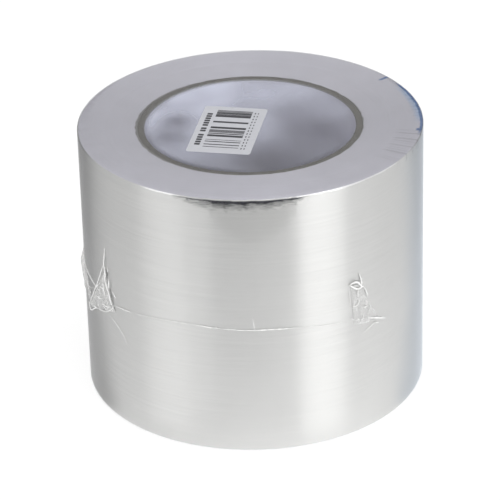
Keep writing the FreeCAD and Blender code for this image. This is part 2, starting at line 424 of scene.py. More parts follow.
def wound_edges(colours):
    """The slit edges of foil, adhesive and release paper, wound side by side.

    Each turn is 0.1385 mm, too fine to see, so the rings are drawn 0.5 to 2 mm wide. The slit edges
    spread a light across the rings, so the face is brighter toward and away from the lamps.
    """
    material, tree = new_material("wound_tape_edges")
    place = in_millimetres(tree)
    azimuth, radius, _ = polar(place)
    drift = add("TexNoise", {
        "Scale": 1,
        "Detail": 2,
        "Roughness": 0.5,
        "Vector": add("VectorMath", {"operation": "MULTIPLY", 0: place, 1: (0.03, 0.03, 0)}),
    })
    outward = add("Math", {"operation": "MULTIPLY", 0: radius, 1: 2.2})
    rings_at = add("CombineXYZ", {0: outward, 1: drift})
    fine = {"noise_dimensions": "2D", "Scale": 1, "Detail": 3, "Roughness": 0.65, "Vector": rings_at}
    rings = add("TexNoise", fine).outputs[0]
    dust = add("TexNoise", {
        "Scale": 1,
        "Detail": 3,
        "Roughness": 0.6,
        "Vector": add("VectorMath", {"operation": "MULTIPLY", 0: place, 1: (0.09, 0.09, 0.09)}),
    })
    base = mottled(rings, 0.3, 0.7, colours.edge, 0.93, 1.06)
    base = add("Mix", {
        "data_type": "RGBA",
        0: add("MapRange", {
            "Value": dust,
            "From Min": 0.35,
            "From Max": 0.7,
            "To Min": 0,
            "To Max": 0.6,
        }),
        6: base,
        7: shade(colours.edge, 1.08),
    })
    smear = add("Math", {
        "operation": "SUBTRACT",
        0: add("TexNoise", {
            "Scale": 1,
            "Detail": 2,
            "Roughness": 0.5,
            "Vector": add("VectorMath", {"operation": "MULTIPLY", 0: place, 1: (0.3, 0.3, 0.3)}),
        }),
        1: 0.5,
    })
    ragged = add("Math", {"operation": "ADD", 0: radius, 1: smear})

    def inked(first, last, soft, inner, outer, full=1):
        within = add("MapRange", {
            "Value": ragged,
            "From Min": inner,
            "From Max": outer,
            "To Min": 0,
            "To Max": full,
        })
        return add("Math", {"operation": "MULTIPLY", 0: window(azimuth, first, last, soft), 1: within})

    # The release paper's blue print shows on the last turns, from the right round to the back.
    line = inked(-9, 24, 6, 60.7, 61.1)
    first_hook = inked(33.7, 34.3, 0.5, 57.6, 58.4)
    last_hook = inked(-10.2, -9.2, 0.7, 59.6, 60.2)
    base = add("Mix", {
        "data_type": "RGBA",
        0: inked(2, 20, 8, 58.6, 60.8, 0.6),
        6: base,
        7: shade(linear("#81AAD4")),
    })
    # Painted shade of the gap between core and tape: the first turns are darkened toward the board's
    # colour, more on one side.
    reach = add("MapRange", {
        "Value": add("SeparateXYZ", {0: place}).outputs["X"],
        "From Min": -41,
        "From Max": 0,
        "To Min": 0.7,
        "To Max": 0.1,
    })
    gap_shade_radius = add("Math", {
        "operation": "ADD",
        0: add("Math", {"operation": "SUBTRACT", 0: radius, 1: reach}),
        1: smear,
    })
    # Painted shade: the ring by the core is mixed toward the board's colour.
    base = add("Mix", {
        "data_type": "RGBA",
        0: add("MapRange", {
            "Value": gap_shade_radius,
            "From Min": 40.5,
            "From Max": 40.9,
            "To Min": 0.85,
            "To Max": 0,
        }),
        6: base,
        7: shade(colours.board, 1.25),
    })
    base = add("Mix", {
        "data_type": "RGBA",
        0: add("Math", {
            "operation": "MAXIMUM",
            0: line,
            1: add("Math", {"operation": "MAXIMUM", 0: first_hook, 1: last_hook}),
        }),
        6: base,
        7: shade(colours.ink),
    })
    more = {"Metallic": 0.55, "Specular IOR Level": 0.4, "Anisotropic": 0.85}
    more["Normal"] = add("Bump", {"Strength": 0.5, "Distance": 0.00005, "Height": rings})
    more["Tangent"] = add("VectorMath", {
        "operation": "NORMALIZE",
        0: add("VectorMath", {"operation": "MULTIPLY", 0: place, 1: LEVEL}),
    })
    shader = add("BsdfPrincipled", {
        "Base Color": base,
        "Roughness": add("MapRange", {
            "Value": rings,
            "From Min": 0.3,
            "From Max": 0.7,
            "To Min": 0.36,
            "To Max": 0.5,
        }),
        **more,
    })
    add("OutputMaterial", {0: shader})
    return material


def core_board(colours):
    """Spiral-wound grey-brown board, cut square: dull, with its plies as faint rings."""
    material, tree = new_material("core_board_cut")
    place = in_millimetres(tree)
    radius = polar(place)[1]
    ply = 0.5
    plies = add("Math", {
        "operation": "SINE",
        0: add("Math", {"operation": "MULTIPLY", 0: radius, 1: 2 * math.pi / ply}),
    })
    fibre = add("TexNoise", {
        "Scale": 1,
        "Detail": 5,
        "Roughness": 0.7,
        "Vector": add("VectorMath", {"operation": "MULTIPLY", 0: place, 1: (0.9, 0.9, 0.9)}),
    })
    base = mottled(fibre, 0.3, 0.7, colours.board, 0.82, 1.18)
    base = add("Mix", {
        "data_type": "RGBA",
        0: add("MapRange", {
            "Value": plies,
            "From Min": 0.2,
            "From Max": 1,
            "To Min": 0,
            "To Max": 0.35,
        }),
        6: base,
        7: shade(colours.board, 0.7),
    })
    more = {
        "Specular IOR Level": 0.25,
        "Normal": add("Bump", {"Strength": 0.6, "Distance": 0.0001, "Height": fibre}),
    }
    shader = add("BsdfPrincipled", {
        "Base Color": base,
        "Roughness": add("MapRange", {
            "Value": fibre,
            "From Min": 0.3,
            "From Max": 0.7,
            "To Min": 0.75,
            "To Max": 0.95,
        }),
        **more,
    })
    add("OutputMaterial", {0: shader})
    return material


def core_liner(colours):
    """Smooth calendered paper inside the core, wound in a spiral whose edges meet in a fine line."""
    material, tree = new_material("core_liner_paper")
    place = in_millimetres(tree)
    azimuth, _, height = polar(place)
    clouds = add("TexNoise", {
        "Scale": 1,
        "Detail": 3,
        "Roughness": 0.5,
        "Vector": add("VectorMath", {"operation": "MULTIPLY", 0: place, 1: (0.05, 0.05, 0.06)}),
    })
    fibre = add("TexNoise", {
        "Scale": 1,
        "Detail": 4,
        "Roughness": 0.65,
        "Vector": add("VectorMath", {"operation": "MULTIPLY", 0: place, 1: (1.2, 1.2, 1.2)}),
    })
    climb_a_turn = 95
    climb = add("Math", {
        "operation": "ADD",
        0: add("Math", {"operation": "DIVIDE", 0: azimuth, 1: 360}),
        1: add("Math", {"operation": "DIVIDE", 0: height, 1: climb_a_turn}),
    })
    joint = window(add("Math", {"operation": "FRACT", 0: climb}), 0.496, 0.5, 0.003)
    base = mottled(clouds, 0.35, 0.65, colours.liner, 0.95, 1.1)
    base = add("Mix", {
        "data_type": "RGBA",
        0: add("MapRange", {
            "Value": fibre,
            "From Min": 0.35,
            "From Max": 0.7,
            "To Min": 0,
            "To Max": 0.2,
        }),
        6: base,
        7: shade(colours.liner, 0.8),
    })
    base = add("Mix", {
        "data_type": "RGBA",
        0: add("Math", {"operation": "MULTIPLY", 0: joint, 1: 0.3}),
        6: base,
        7: shade(colours.liner, 0.5),
    })
    # Painted shade: the paper is mixed toward black toward the bore's middle, and a little by the lips.
    depth = from_middle(height)
    for first, last, at_first, at_last in ((4, 36, 0.27, 0), (38, 47, 0, 0.17)):
        base = add("Mix", {
            "data_type": "RGBA",
            0: add("MapRange", {
                "Value": depth,
                "From Min": first,
                "From Max": last,
                "To Min": at_first,
                "To Max": at_last,
            }),
            6: base,
            7: BLACK,
        })
    more = {
        "Specular IOR Level": 0.35,
        "Normal": add("Bump", {"Strength": 0.4, "Distance": 0.00006, "Height": fibre}),
    }
    shader = add("BsdfPrincipled", {
        "Base Color": base,
        "Roughness": add("MapRange", {
            "Value": clouds,
            "From Min": 0.3,
            "From Max": 0.7,
            "To Min": 0.5,
            "To Max": 0.62,
        }),
        **more,
    })
    add("OutputMaterial", {0: shader})
    return material


def apart(place, x, y):
    """Distance in millimetres from an upright line through a point."""
    ends = {0: add("VectorMath", {"operation": "MULTIPLY", 0: place, 1: LEVEL}), 1: (x, y, 0)}
    return add("VectorMath", {"operation": "DISTANCE", **ends}).outputs["Value"]


def spot(place, x, y, reach, depth):
    """As much as depth at a point over the mouth, falling off smoothly over a reach in millimetres."""
    return add("MapRange", {
        "interpolation_type": "SMOOTHSTEP",
        "Value": apart(place, x, y),
        "From Min": 0,
        "From Max": reach,
        "To Min": depth,
        "To Max": 0,
    })


def film_layer(normal, roughness, head_on):
    """See-through film: it mirrors a little head on, and most of the light at a graze."""
    gloss = add("BsdfGlossy", {"Roughness": roughness, "Color": WHITE, "Normal": normal})
    clear = add("BsdfTransparent", {"Color": WHITE}, normal.id_data)
    facing = add("LayerWeight", {"Blend": 0.5, "Normal": normal}).outputs["Facing"]
    mirror = add("MapRange", {
        "Value": add("Math", {"operation": "POWER", 0: facing, 1: 5}),
        "From Min": 0,
        "From Max": 1,
        "To Min": head_on,
        "To Max": 0.65,
    })
    return add("MixShader", {0: mirror, 1: clear, 2: gloss})


def clear_film(colours):
    """Clear polyolefin shrink film: all but the mirror gloss and a little haze is see-through."""
    material, tree = new_material("shrink_film_clear")
    place = in_millimetres(tree)
    azimuth, radius, height = polar(place)
    x, y, _ = add("SeparateXYZ", {0: place}).outputs
    over_mouth = add("MapRange", {
        "Value": apart(place, 0, -2.6),
        "From Min": 35.6,
        "From Max": 38.4,
        "To Min": 1,
        "To Max": 0,
    })
    swell = add("TexNoise", {
        "Scale": 1,
        "Detail": 1,
        "Roughness": 0.4,
        "Vector": add("VectorMath", {"operation": "MULTIPLY", 0: place, 1: (0.045, 0.045, 0.045)}),
    })
    # Fine creases run out over the rim, where the film shrank tight.
    fine = {
        "Scale": 40,
        "Detail": 2,
        "Roughness": 0.6,
        "Vector": add("VectorMath", {
            "operation": "NORMALIZE",
            0: add("VectorMath", {"operation": "MULTIPLY", 0: place, 1: LEVEL}),
        }),
    }
    creases = add("TexNoise", fine).outputs[0]
    near_rim = window(radius, 55, 63, 6)
    drawn = add("Math", {
        "operation": "MULTIPLY",
        0: near_rim,
        1: add("MapRange", {"Value": from_middle(height), "From Min": 46, "From Max": 50}),
    })
    # Round the dog ears the film is pulled into upright ripples.
    ripples = add("TexNoise", {
        "Scale": 1,
        "Detail": 2,
        "Roughness": 0.5,
        "Distortion": 0.5,
        "Vector": add("VectorMath", {"operation": "MULTIPLY", 0: place, 1: (0.4, 0.4, 0.1)}),
    })
    at_left = window(azimuth, -160, -140, 7)
    at_right = window(azimuth, -58, -48, 8)
    pulled = add("Math", {
        "operation": "MULTIPLY",
        0: add("Math", {"operation": "MAXIMUM", 0: at_left, 1: at_right}),
        1: window(height, 42, 60, 14),
    })
    normal = add("Bump", {
        "Strength": 0.35,
        "Distance": 0.0008,
        "Height": add("Math", {"operation": "MULTIPLY", 0: swell, 1: over_mouth}),
    })
    normal = add("Bump", {
        "Strength": 0.25,
        "Distance": 0.0005,
        "Height": add("Math", {"operation": "MULTIPLY", 0: creases, 1: drawn}),
        "Normal": normal,
    })
    normal = add("Bump", {
        "Strength": 0.4,
        "Distance": 0.0006,
        "Height": add("Math", {"operation": "MULTIPLY", 0: ripples, 1: pulled}),
        "Normal": normal,
    })
    film = film_layer(normal, 0.09, 0.04)
    # Milky where it hangs free over the mouth, more at the back and left, thin at listed spots: painted
    # light and shade.
    milky = add("Math", {
        "operation": "ADD",
        0: add("MapRange", {
            "Value": y,
            "From Min": -30,
            "From Max": 18,
            "To Min": 0.07,
            "To Max": 0.21,
        }),
        1: add("MapRange", {"Value": x, "From Min": -38, "From Max": 14, "To Min": 0.3, "To Max": 0}),
    })
    milky = add("Math", {
        "operation": "MULTIPLY",
        0: milky,
        1: add("MapRange", {
            "Value": swell,
            "From Min": 0.3,
            "From Max": 0.65,
            "To Min": 0.5,
            "To Max": 1.3,
        }),
    })
    # Each thin spot, a painted dark patch, has its place, its reach and its depth, and they run into each
    # other.
    thin_spots = (
        (-26.5, 2, 14, 0.88),
        (-30, -11, 16, 0.8),
        (27, -9, 22, 0.93),
        (6, -34, 28, 1),
        (27, 16, 17, 0.4),
        (5, 36, 16, 0.45),
    )
    for thin_spot in thin_spots:
        milky = add("Math", {
            "operation": "MULTIPLY",
            0: milky,
            1: add("Math", {"operation": "SUBTRACT", 0: 1, 1: spot(place, *thin_spot)}),
        })
    haze = add("Math", {
        "operation": "ADD",
        0: add("Math", {"operation": "MULTIPLY", 0: milky, 1: over_mouth}),
        1: 0.012,
    })
    # At the right of the rim it lies in fine radial folds, whose shade is painted as dark lines.
    by_rim = add("Math", {
        "operation": "MULTIPLY",
        0: window(radius, 55, 62, 3),
        1: add("MapRange", {"Value": height, "From Min": 97, "From Max": 99}),
    })
    folded = add("Math", {"operation": "MULTIPLY", 0: window(azimuth, -32, -12, 6), 1: by_rim})
    fold = add("Math", {
        "operation": "MULTIPLY",
        0: add("Math", {
            "operation": "MULTIPLY",
            0: add("MapRange", {"Value": creases, "From Min": 0.52, "From Max": 0.6}),
            1: folded,
        }),
        1: 0.07,
    })
    # Painted shade of the folds: dark grey mixed into the film along them.
    fold_shaded = add("MixShader", {
        0: fold,
        1: film,
        2: add("BsdfDiffuse", {"Color": shade(linear("#616165"))}, tree),
    })
    add("OutputMaterial", {
        0: add("MixShader", {
            0: haze,
            1: fold_shaded,
            2: add("BsdfDiffuse", {"Color": shade(colours.veil)}, tree),
        }),
    })
    return material


def gathered_film(colours, name, cloudy):
    """Spare film in pleats: it lies in layers, so it mirrors more, and it clouds where it is creased."""
    material, tree = new_material(name)
    crumple = add("TexNoise", {
        "Scale": 1,
        "Detail": 3,
        "Roughness": 0.6,
        "Distortion": 0.8,
        "Vector": add("VectorMath", {
            "operation": "MULTIPLY",
            0: in_millimetres(tree),
            1: (0.5, 0.5, 0.32),
        }),
    })
    normal = add("Bump", {"Strength": 0.3, "Distance": 0.0006, "Height": crumple})
    film = film_layer(normal, 0.2, 0.05)
    cloud = add("MapRange", {
        "Value": crumple,
        "From Min": 0.3,
        "From Max": 0.7,
        "To Min": 0.15 * cloudy,
        "To Max": cloudy,
    })
    add("OutputMaterial", {
        0: add("MixShader", {
            0: cloud,
            1: film,
            2: add("BsdfDiffuse", {"Color": shade(colours.haze), "Normal": normal}, tree),
        }),
    })
    return material


def whitened_film(colours, name, clear):
    """Film stretched until it whitens, at a weld or along a sharp fold: bright, and nearly opaque."""
    material, tree = new_material(name)
    crumple = add("TexNoise", {
        "Scale": 1,
        "Detail": 3,
        "Roughness": 0.6,
        "Vector": add("VectorMath", {
            "operation": "MULTIPLY",
            0: in_millimetres(tree),
            1: (0.7, 0.7, 0.5),
        }),
    })
    more = {
        "IOR": 1.5,
        "Specular IOR Level": 0.9,
        "Normal": add("Bump", {"Strength": 0.4, "Distance": 0.0003, "Height": crumple}),
    }
    more["Alpha"] = add("MapRange", {
        "Value": crumple,
        "From Min": 0.36,
        "From Max": 0.6,
        "To Min": clear,
        "To Max": 1,
    })
    shader = add("BsdfPrincipled", {"Base Color": shade(colours.haze), "Roughness": 0.16, **more})
    add("OutputMaterial", {0: shader})
    return material


def sticker_paper(colours):
    """Coated thermal paper: almost smooth, faintly mottled by the film under it."""
    material, tree = new_material("thermal_paper_coated")
    mottle = add("TexNoise", {
        "Scale": 1,
        "Detail": 4,
        "Roughness": 0.6,
        "Vector": add("VectorMath", {
            "operation": "MULTIPLY",
            0: in_millimetres(tree),
            1: (0.5, 0.5, 0.5),
        }),
    })
    base = mottled(mottle, 0.3, 0.7, colours.sticker, 0.96, 1.04)
    more = {
        "Specular IOR Level": 0.4,
        "Normal": add("Bump", {"Strength": 0.3, "Distance": 0.00005, "Height": mottle}),
    }
    shader = add("BsdfPrincipled", {
        "Base Color": base,
        "Roughness": add("MapRange", {
            "Value": mottle,
            "From Min": 0.3,
            "From Max": 0.7,
            "To Min": 0.4,
            "To Max": 0.5,
        }),
        **more,
    })
    add("OutputMaterial", {0: shader})
    return material


def thermal_print(colours):
    """Thermal print: dull near-black that breaks up a little where the head skipped."""
    material, tree = new_material("thermal_print_black")
    skips = add("TexNoise", {
        "Scale": 1,
        "Detail": 3,
        "Roughness": 0.7,
        "Vector": add("VectorMath", {
            "operation": "MULTIPLY",
            0: in_millimetres(tree),
            1: (1.6, 1.6, 1.6),
        }),
    })
    faded = add("MapRange", {
        "Value": skips,
        "From Min": 0.45,
        "From Max": 0.75,
        "To Min": 0,
        "To Max": 0.5,
    })
    base = add("Mix", {
        "data_type": "RGBA",
        0: faded,
        6: shade(colours.print),
        7: shade(colours.print, 4),
    })
    roughness = add("MapRange", {
        "Value": skips,
        "From Min": 0.3,
        "From Max": 0.7,
        "To Min": 0.42,
        "To Max": 0.6,
    })
    shader = add("BsdfPrincipled", {
        "Base Color": base,
        "Roughness": roughness,
        "Specular IOR Level": 0.35,
    })
    add("OutputMaterial", {0: shader})
    return material


def floor_in_foil(tree):
    """How the floor looks in the foil: its light falls off away from the roll, to its sides and back."""
    place = in_millimetres(tree)
    x, y, _ = add("SeparateXYZ", {0: place}).outputs
    away = add("VectorMath", {"operation": "LENGTH", 0: place})
    foot = 65
    near = add("MapRange", {
        "Value": away,
        "From Min": foot,
        "From Max": 230,
        "To Min": 1.21,
        "To Max": 0.95,
    })
    close = add("MapRange", {
        "Value": away,
        "From Min": foot,
        "From Max": 110,
        "To Min": 1,
        "To Max": 0,
    })
    at_foot = add("MapRange", {
        "Value": away,
        "From Min": foot,
        "From Max": 84,
        "To Min": 1,
        "To Max": 0,
    })
    pale, blue = linear("#ECF0F5"), linear("#D8DEE5")
    # Each stop is a share of a half turn round the roll from its front, and the tone there.
    left = [
        (0.1, 1.22),
        (0.2, 1.11),
        (0.33, 0.98),
        (0.5, 0.94),
        (0.61, 0.85),
        (0.7, 0.63),
        (0.78, 0.42),
    ]
    right = [(0.08, 1.29), (0.22, 1.22), (0.4, 1.26), (0.5, 1.18), (0.62, 1.08)]
    right += [(0.71, pale), (0.8, blue)]
    tones = []
    for side, stops in ((-1, left), (1, right)):
        # The angle is taken from a point beside the axis, where the side's mirrored rays set out.
        across = add("Math", {
            "operation": "MULTIPLY",
            0: add("Math", {"operation": "SUBTRACT", 0: x, 1: 50 * side}),
            1: side,
        })
        turn = add("Math", {
            "operation": "ABSOLUTE",
            0: add("Math", {
                "operation": "ARCTAN2",
                0: across,
                1: add("Math", {"operation": "SUBTRACT", 0: -25, 1: y}),
            }),
        })
        # Close to the roll the rays have not turned away from it yet.
        beside = add("Math", {"operation": "MULTIPLY", 0: x, 1: side})
        round_roll = add("Math", {
            "operation": "ABSOLUTE",
            0: add("Math", {
                "operation": "ARCTAN2",
                0: beside,
                1: add("Math", {"operation": "SUBTRACT", 0: 0, 1: y}),
            }),
        })
        # At its very foot the flanks mirror what lies behind it.
        behind = add("Math", {
            "operation": "MULTIPLY",
            0: add("MapRange", {
                "Value": round_roll,
                "From Min": 0.75,
                "From Max": 1.1,
                "To Min": 0,
                "To Max": 0.4,
            }),
            1: at_foot,
        })
        turned = add("Math", {
            "operation": "ADD",
            0: add("Math", {"operation": "MULTIPLY", 0: round_roll, 1: 1.75}),
            1: behind,
        })
        turn = add("Math", {
            "operation": "ADD",
            0: turn,
            1: add("Math", {
                "operation": "MULTIPLY",
                0: close,
                1: add("Math", {"operation": "SUBTRACT", 0: turned, 1: turn}),
            }),
        })
        ramp = add("ValToRGB", {
            "ramp": stops,
            0: add("Math", {"operation": "DIVIDE", 0: turn, 1: math.pi}),
        })
        tones.append(ramp.outputs[0])
    return (
        add("Mix", {
            "data_type": "RGBA",
            0: add("MapRange", {"Value": x, "From Min": -20, "From Max": 20}),
            6: tones[0],
            7: tones[1],
        }),
        near,
    )


def studio_floor(colours):
    """Pale matt board. To the eye it is plain and keeps the roll's shadow; in the foil it falls off."""
    material, tree = new_material("studio_floor_board")
    rays = add("LightPath", {}, tree).outputs
    seen = add("Math", {
        "operation": "MAXIMUM",
        0: rays["Is Camera Ray"],
        1: rays["Is Transmission Ray"],
    })
    dim = add("BsdfDiffuse", {"Color": shade(linear("#959595"))}, tree)
    glow = add("Emission", {"Color": WHITE, "Strength": 0.76}, tree)
    pale = add("AddShader", {0: dim.outputs[0], 1: glow.outputs[0]})
    # Painted reflection: glossy rays see the floor as an emission, graded by floor_in_foil.
    tone, level = floor_in_foil(tree)
    mirrored = add("Emission", {"Color": tone, "Strength": level})
    plain = add("MixShader", {
        0: seen,
        1: add("BsdfDiffuse", {"Color": shade(colours.floor)}, tree),
        2: pale,
    })
    add("OutputMaterial", {0: add("MixShader", {0: rays["Is Glossy Ray"], 1: plain, 2: mirrored})})
    return material


def card(name, grey):
    """Matt card that stands beside the stage, so that the foil has something to mirror."""
    material, tree = new_material(name)
    add("OutputMaterial", {0: add("BsdfDiffuse", {"Color": shade(linear(grey))}, tree)})
    return material


def deselect():
    """Leaves nothing selected, so that an operator acts on the new piece alone."""
    if bpy.context.object is not None and bpy.context.object.mode != "OBJECT":
        bpy.ops.object.mode_set(mode="OBJECT")
    bpy.ops.object.select_all(action="DESELECT")


def named(piece, name):
    """Gives a piece and its mesh one name."""
    piece.name = name
    piece.data.name = name
    return piece


def placed(name, data):
    """A new object that holds a curve, a lamp or a camera."""
    holder = bpy.data.objects.new(name, data)
    bpy.context.scene.collection.objects.link(holder)
    return holder


def pick(piece, kind, test):
    """In edit mode, selects only the faces or the edges that pass a test."""
    bpy.ops.mesh.select_all(action="DESELECT")
    bpy.context.tool_settings.mesh_select_mode = (False, kind == "edges", kind == "faces")
    mesh = bmesh.from_edit_mesh(piece.data)
    for part in getattr(mesh, kind):
        part.select_set(bool(test(part)))
    mesh.select_flush_mode()
    bmesh.update_edit_mesh(piece.data)


def is_end(face):
    """Whether a face is a round end of a drum."""
    return len(face.verts) > 100


def pick_end(piece, level):
    """Selects the end of a drum that lies at a height."""
    pick(piece, "faces", lambda f: is_end(f) and abs(f.calc_center_median().z - level) < 1e-5)


def drum(name, radius, low, high, sides):
    """A closed drum on the roll's axis, left in edit mode."""
    deselect()
    middle = (0, 0, (low + high) / 2)
    bpy.ops.mesh.primitive_cylinder_add(vertices=sides, radius=radius, depth=high - low, location=middle)
    piece = named(bpy.context.active_object, name)
    bpy.ops.object.transform_apply()
    bpy.ops.object.mode_set(mode="EDIT")
    return piece


def round_rims(piece, low, high, size, steps):
    """Rounds the two edges where a drum's side meets its ends."""

    def on_rim(edge):
        heights = [v.co.z for v in edge.verts]
        level = abs(heights[0] - heights[1]) < 1e-7
        return level and (abs(heights[0] - high) < 1e-6 or abs(heights[0] - low) < 1e-6)

    pick(piece, "edges", on_rim)
    bpy.ops.mesh.bevel(offset=size, segments=steps, affect="EDGES")


def cut_level(heights):
    """Cuts the wall of the drum in edit mode at each height."""
    for height in heights:
        bpy.ops.mesh.select_all(action="SELECT")
        bpy.ops.mesh.bisect(plane_co=(0, 0, height), plane_no=(0, 0, 1))


def finish_piece(piece, materials, replaced=None, smooth=40):
    """Gives a piece its finishes and shading, and lets it ride on the roll."""
    if piece.mode != "OBJECT":
        bpy.ops.object.mode_set(mode="OBJECT")
    for material in materials:
        piece.data.materials.append(material)
    deselect()
    piece.select_set(True)
    bpy.context.view_layer.objects.active = piece
    bpy.ops.object.shade_smooth_by_angle(angle=math.radians(smooth))
    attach(piece, "root")
    if replaced:
        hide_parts(replaced)
    piece.select_set(False)


def on_side(azimuth, height, radius):
    """A point from its azimuth in degrees, and its height and radius in millimetres."""
    a = math.radians(azimuth)
    return Vector((math.cos(a) * radius, math.sin(a) * radius, height)) * MM


class MESH_OT_wound_tape(bpy.types.Operator):
    """Build the wound tape, with its last turn's free end and the drift of its turns"""

    bl_idname = "mesh.foil_roll_wound_tape"
    bl_label = "Wound tape"

    def execute(self, context):
        sizes = context.scene.foil_roll_sizes
        low, high, outer = sizes.tape_base, sizes.tape_top, sizes.tape_radius
        roll = drum("wound_tape", outer, low, high, 720)
        round_rims(roll, low, high, sizes.tape_rounding, 2)
        near_rim = [0.6, 1, 1.4, 1.9, 2.4, 2.9, 3.5, 4.2, 5, 6, 7.5]
        cut_level([high - step * MM for step in near_rim])
        cut_level([low + step * MM for step in (10, 22, 34, 46, 58, 70, 82)])
        dice = random.Random(11)
        bands = 26
        for level in (high, low):
            pick_end(roll, level)
            room = outer - sizes.tape_rounding - TAPE_BORE
            widths = [dice.uniform(0.4, 1.3) for _ in range(bands)]
            sunk = 0
            for width in widths:
                step = dice.uniform(0, 0.1) * MM - sunk
                sunk += step
                bpy.ops.mesh.inset(thickness=width / sum(widths) * room, depth=-step)
        pick(roll, "faces", is_end)
        bpy.ops.mesh.bridge_edge_loops()
        bpy.ops.object.mode_set(mode="OBJECT")
        end, turn = math.degrees(sizes.tape_end), sizes.tape_turn
        dent_at, dent_half, dent_deep = -92, 24, 6 * MM
        for vertex in roll.data.vertices:
            x, y, z = vertex.co
            radius = math.hypot(x, y)
            azimuth = math.degrees(math.atan2(y, x))
            moved = radius
            if z > high - 1 * MM and radius < outer - 0.5 * MM:
                vertex.co.z -= sizes.tape_dish * ((outer - radius) / (outer - TAPE_BORE)) ** 1.2
            if radius > outer - 0.6 * MM:
                moved -= turn * (1 - ((azimuth - end) % 360) / 360)
            if z > high - 8 * MM and radius > outer - 2 * MM:
                across = max(0, 1 - abs(azimuth - dent_at) / dent_half)
                down = max(0, 1 - (high - z) / dent_deep)
                rough = noise.noise(Vector((azimuth * 0.35, (high - z) * 500, 3)))
                rough += 0.6 * noise.noise(Vector((azimuth * 0.9, (high - z) * 900, 9)))
                moved -= sizes.dent * min(1, 2 * across) * down * (0.5 + rough)
            vertex.co.x *= moved / radius
            vertex.co.y *= moved / radius
        colours = context.scene.foil_roll_colours
        finish_piece(roll, [rolled_foil(colours), wound_edges(colours)], "foil_tape", 30)
        for face in roll.data.polygons:
            on_end = abs(face.normal.z) > 0.8
            inside = math.hypot(face.center.x, face.center.y) < outer - 2 * MM
            face.material_index = 1 if on_end or inside else 0
        return {"FINISHED"}


class MESH_OT_paper_core(bpy.types.Operator):
    """Build the paper core, with its lips and plies"""

    bl_idname = "mesh.foil_roll_paper_core"
    bl_label = "Paper core"

    def execute(self, context):
        sizes = context.scene.foil_roll_sizes
        low, high, outer = sizes.core_base, sizes.core_top, sizes.core_radius
        lip, plies = sizes.core_lip, 5
        core = drum("paper_core", outer, low, high, 288)
        round_rims(core, low, high, lip * 0.6, 2)
        for level in (high, low):
            pick_end(core, level)
            room = outer - lip * 0.6 - MOUTH - lip
            for ply in range(plies):
                bpy.ops.mesh.inset(thickness=room / plies, depth=0.04 * MM if ply % 2 else -0.04 * MM)
            # The inner lip rolls over into the bore.
            for across, down in ((0.4, 0.15), (0.35, 0.3), (0.25, 0.55)):
                bpy.ops.mesh.inset(thickness=lip * across, depth=-lip * down)
        pick(core, "faces", is_end)
        bpy.ops.mesh.bridge_edge_loops(number_cuts=11)
        colours = context.scene.foil_roll_colours
        finish_piece(core, [core_liner(colours), core_board(colours)], "core", 40)
        for face in core.data.polygons:
            radius = math.hypot(face.center.x, face.center.y)
            at_end = min(abs(face.center.z - high), abs(face.center.z - low)) < 1.5 * MM
            face.material_index = 1 if at_end and radius > MOUTH else 0
        return {"FINISHED"}


class MESH_OT_shrink_film(bpy.types.Operator):
    """Build the clear film that closes round the side, the rims and both mouths"""

    bl_idname = "mesh.foil_roll_shrink_film"
    bl_label = "Shrink film"

    def execute(self, context):
        sizes = context.scene.foil_roll_sizes
        low, high, outer = FILM_BOX[0].z, sizes.film_top, sizes.film_radius
        film = drum("film_skin", outer, low, high, 360)
        round_rims(film, low, high, sizes.film_rim, 4)
        cut_level([step * MM for step in (6, 18, 30, 42, 48, 52, 60, 72, 84, 94)])
        for level in (high, low):
            pick_end(film, level)
            start = outer - sizes.film_rim
            for radius in (58, 52, 46, 42, 39.5, 37, 34, 30.5, 27, 23, 19, 15, 11, 7, 3):
                bpy.ops.mesh.inset(thickness=start - radius * MM, depth=0)
                start = radius * MM
            bpy.ops.mesh.poke()
        bpy.ops.object.mode_set(mode="OBJECT")
        label = (LABEL_BOX[0] + LABEL_BOX[1]) / 2
        span, under_label, fade = 39.6 * MM, 20 * MM, 12 * MM
        for vertex in film.data.vertices:
            x, y, z = vertex.co
            radius = math.hypot(x, y)
            if radius < span:
                free = min(1, (span - radius) / fade)
                upper = z > high / 2
                if upper:
                    away = (Vector((x, y, 0)) - Vector((label.x, label.y, 0))).length
                    free *= max(0, min(1, (away - under_label) / fade))
                wave = 0.5 + noise.noise(Vector((x, y, z)) * 55)
                dip = 1.2 * sizes.film_dip * free * max(0, wave) ** 2.5
                vertex.co.z += -dip if upper else dip
        wall = film.modifiers.new("film_wall", "SOLIDIFY")
        wall.thickness = sizes.film_wall
        wall.offset = -1
        wall.use_even_offset = True
        context.view_layer.objects.active = film
        bpy.ops.object.modifier_apply(modifier=wall.name)
        colours = context.scene.foil_roll_colours
        finish_piece(film, [clear_film(colours)], "shrink_film", 40)
        return {"FINISHED"}


def crease(curve, points, thick):
    """Adds a fold in the film as a tapered strand through points of azimuth, height and lift."""
    strand = curve.splines.new("NURBS")
    strand.points.add(len(points) - 1)
    for i, (azimuth, height, lift) in enumerate(points):
        strand.points[i].co = (*on_side(azimuth, height, STRAND_SIDE + lift), 1)
        strand.points[i].radius = thick * (0.35 if i in (0, len(points) - 1) else 1)
    strand.order_u = 3
    strand.use_endpoint_u = True


def new_creases(name):
    """A curve that holds the folds of one place, with a round section."""
    curve = bpy.data.curves.new(name, "CURVE")
    curve.dimensions = "3D"
    curve.bevel_depth = 1 * MM
    curve.bevel_resolution = 1
    curve.resolution_u = 6
    curve.use_fill_caps = True
    return curve


def creases_to_mesh(curve, name):
    """Turns the folds to one closed mesh."""
    holder = placed(name, curve)
    deselect()
    holder.select_set(True)
    bpy.context.view_layer.objects.active = holder
    bpy.ops.object.convert(target="MESH")
    piece = named(bpy.context.active_object, name)
    bpy.ops.object.mode_set(mode="EDIT")
    bpy.ops.mesh.select_all(action="SELECT")
    bpy.ops.mesh.remove_doubles(threshold=0.000005)
    bpy.ops.mesh.normals_make_consistent(inside=False)
    return piece


